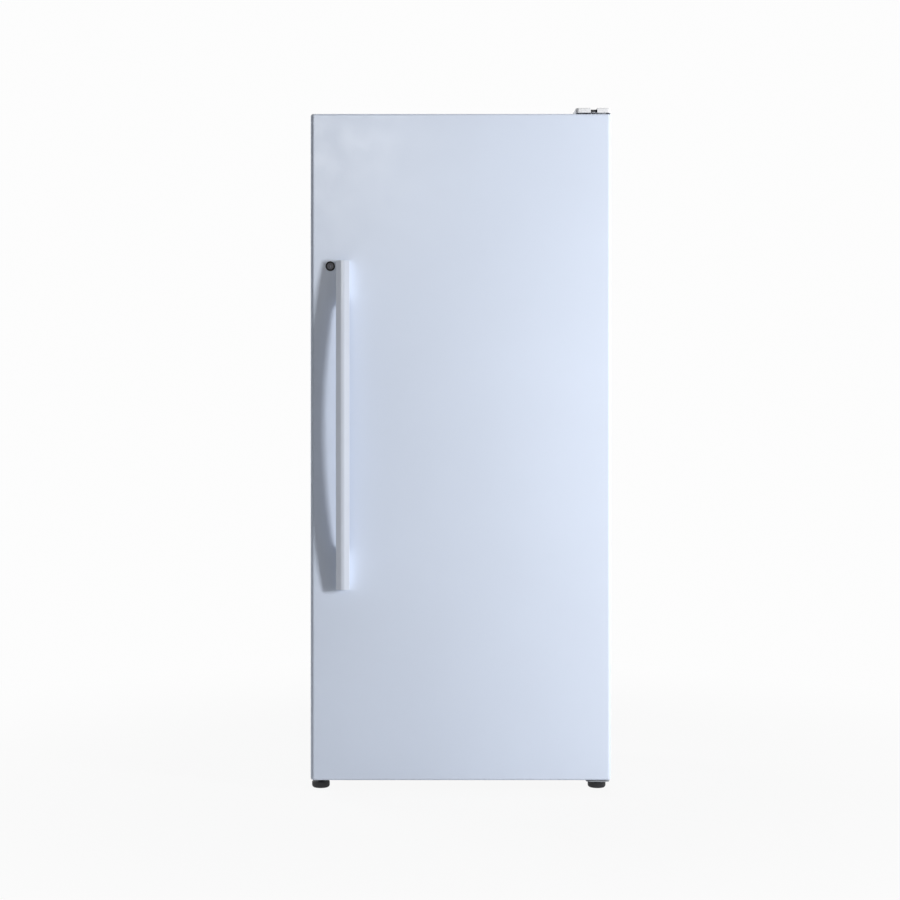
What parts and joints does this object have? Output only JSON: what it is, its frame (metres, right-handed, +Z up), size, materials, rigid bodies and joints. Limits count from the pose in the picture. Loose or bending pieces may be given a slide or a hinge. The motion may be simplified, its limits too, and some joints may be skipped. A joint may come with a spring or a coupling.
{
  "type": "refrigerator",
  "caption": "Upright one-door refrigerator with a full-length bow handle, key lock, glass shelves, door bins, pull-out basket, levelling feet and rear rollers.",
  "frame": {"origin": "on the floor, under the middle of the whole width and of the whole depth, handle included", "axes": "+X to the right as seen from the front, +Y from the door to the back, +Z up"},
  "size_m": [0.813, 0.7239, 1.8575],
  "materials": {
    "cabinet_paint": "satin",
    "door_paint": "satin",
    "back_paint": "matte",
    "galvanised": "satin",
    "foam": "matte",
    "liner_plastic": "satin",
    "gasket_rubber": "matte",
    "handle_plastic": "satin",
    "cover_plastic": "satin",
    "lock_bezel": "satin",
    "lock_metal": "satin",
    "strike_steel": "satin",
    "hinge_paint": "satin",
    "dark_fastener": "satin",
    "zinc_screw": "satin",
    "bush_plastic": "satin",
    "foot_black": "satin",
    "roller_nylon": "satin",
    "axle_steel": "satin",
    "compressor_black": "satin",
    "grommet_rubber": "matte",
    "relay_plastic": "satin",
    "copper": "satin",
    "motor_steel": "satin",
    "fan_plastic": "satin",
    "drain_plastic": "satin",
    "fin_aluminium": "satin",
    "frame_plastic": "satin",
    "shelf_glass": "polished",
    "bin_plastic": "satin",
    "basket_plastic": "satin",
    "lamp_glass": "polished",
    "lens_plastic": "polished",
    "knob_plastic": "satin",
    "switch_plastic": "satin"
  },
  "bodies": {
    "cabinet": {"cabinet_shell": "cabinet_paint", "back_panel": "back_paint", "machine_cover": "back_paint", "bottom_panel": "galvanised", "base_frame": "galvanised", "machine_deck": "galvanised", "cabinet_foam": "foam", "inner_liner": "liner_plastic", "evaporator_cover": "liner_plastic", "control_housing": "liner_plastic", "top_hinge_cover": "cover_plastic", "lock_strike": "strike_steel", "top_hinge": "hinge_paint", "bottom_hinge": "hinge_paint", "hinge_screws": "dark_fastener", "roller_axles": "axle_steel", "compressor": "compressor_black", "condenser_coil": "compressor_black", "compressor_grommets": "grommet_rubber", "cord_inlet": "grommet_rubber", "start_relay": "relay_plastic", "condenser_fan_shroud": "relay_plastic", "drain_pan": "relay_plastic", "refrigerant_lines": "copper", "condenser_fan_motor": "motor_steel", "evaporator_fan_motor": "motor_steel", "drain_tube": "drain_plastic", "evaporator_coil": "fin_aluminium", "shelf_frame_1": "frame_plastic", "shelf_frame_2": "frame_plastic", "shelf_frame_3": "frame_plastic", "shelf_glass_1": "shelf_glass", "shelf_glass_2": "shelf_glass", "shelf_glass_3": "shelf_glass", "lamp": "lamp_glass", "lamp_lens": "lens_plastic", "light_switch": "switch_plastic"},
    "door": {"door_panel": "door_paint", "door_foam": "foam", "door_liner": "liner_plastic", "door_gasket": "gasket_rubber", "door_bushes": "bush_plastic", "handle": "handle_plastic", "handle_screws": "zinc_screw", "lock_housing": "lock_bezel", "door_bin_1": "bin_plastic", "door_bin_2": "bin_plastic", "door_bin_3": "bin_plastic", "door_bin_4": "bin_plastic", "door_bin_5": "bin_plastic"},
    "lock": {"lock_core": "lock_metal"},
    "plunger": {"light_plunger": "knob_plastic"},
    "knob": {"thermostat_knob": "knob_plastic"},
    "evaporator_fan_rotor": {"evaporator_fan": "fan_plastic"},
    "condenser_fan_rotor": {"condenser_fan": "fan_plastic"},
    "rear_roller_left": {"roller_left": "roller_nylon"},
    "rear_roller_right": {"roller_right": "roller_nylon"},
    "front_foot_left": {"foot_left": "foot_black"},
    "front_foot_right": {"foot_right": "foot_black"},
    "pull_out_basket": {"basket": "basket_plastic"}
  },
  "joints": [
    {"name": "door_swing", "type": "hinge", "parent": "cabinet", "child": "door", "pos_m": [0.384, -0.272, 0.9], "axis": [0, 0, 1], "range_deg": [0, 125]},
    {"name": "lock_turn", "type": "hinge", "parent": "door", "child": "lock", "pos_m": [-0.353, -0.29, 1.4285], "axis": [0, -1, 0], "range_deg": [0, 90]},
    {"name": "basket_slide", "type": "slide", "parent": "cabinet", "child": "pull_out_basket", "axis": [0, -1, 0], "range_m": [0, 0.16]},
    {"name": "plunger_slide", "type": "slide", "parent": "cabinet", "child": "plunger", "axis": [0, -1, 0], "range_m": [0, 0.006]},
    {"name": "knob_turn", "type": "hinge", "parent": "cabinet", "child": "knob", "pos_m": [0.084, -0.19, 1.7575], "axis": [0, 1, 0], "range_deg": [0, 270]},
    {"name": "evaporator_fan_spin", "type": "hinge", "parent": "cabinet", "child": "evaporator_fan_rotor", "pos_m": [0, 0.26, 0.7365], "axis": [0, -1, 0], "continuous": true},
    {"name": "condenser_fan_spin", "type": "hinge", "parent": "cabinet", "child": "condenser_fan_rotor", "pos_m": [-0.11, 0.187, 0.116], "axis": [1, 0, 0], "continuous": true},
    {"name": "roller_left_spin", "type": "hinge", "parent": "cabinet", "child": "rear_roller_left", "pos_m": [-0.3794, 0.31, 0.025], "axis": [1, 0, 0], "continuous": true},
    {"name": "roller_right_spin", "type": "hinge", "parent": "cabinet", "child": "rear_roller_right", "pos_m": [0.3794, 0.31, 0.025], "axis": [1, 0, 0], "continuous": true},
    {"name": "foot_left_turn", "type": "hinge", "parent": "cabinet", "child": "front_foot_left", "pos_m": [-0.3815, -0.2, 0.02], "axis": [0, 0, 1], "continuous": true},
    {"name": "foot_right_turn", "type": "hinge", "parent": "cabinet", "child": "front_foot_right", "pos_m": [0.3815, -0.2, 0.02], "axis": [0, 0, 1], "continuous": true}
  ],
  "couplings": [
    {"joint": "basket_slide", "follows": "door_swing", "m_per_rad": 0.0733},
    {"joint": "plunger_slide", "follows": "door_swing", "m_per_rad": 0.00275}
  ]
}
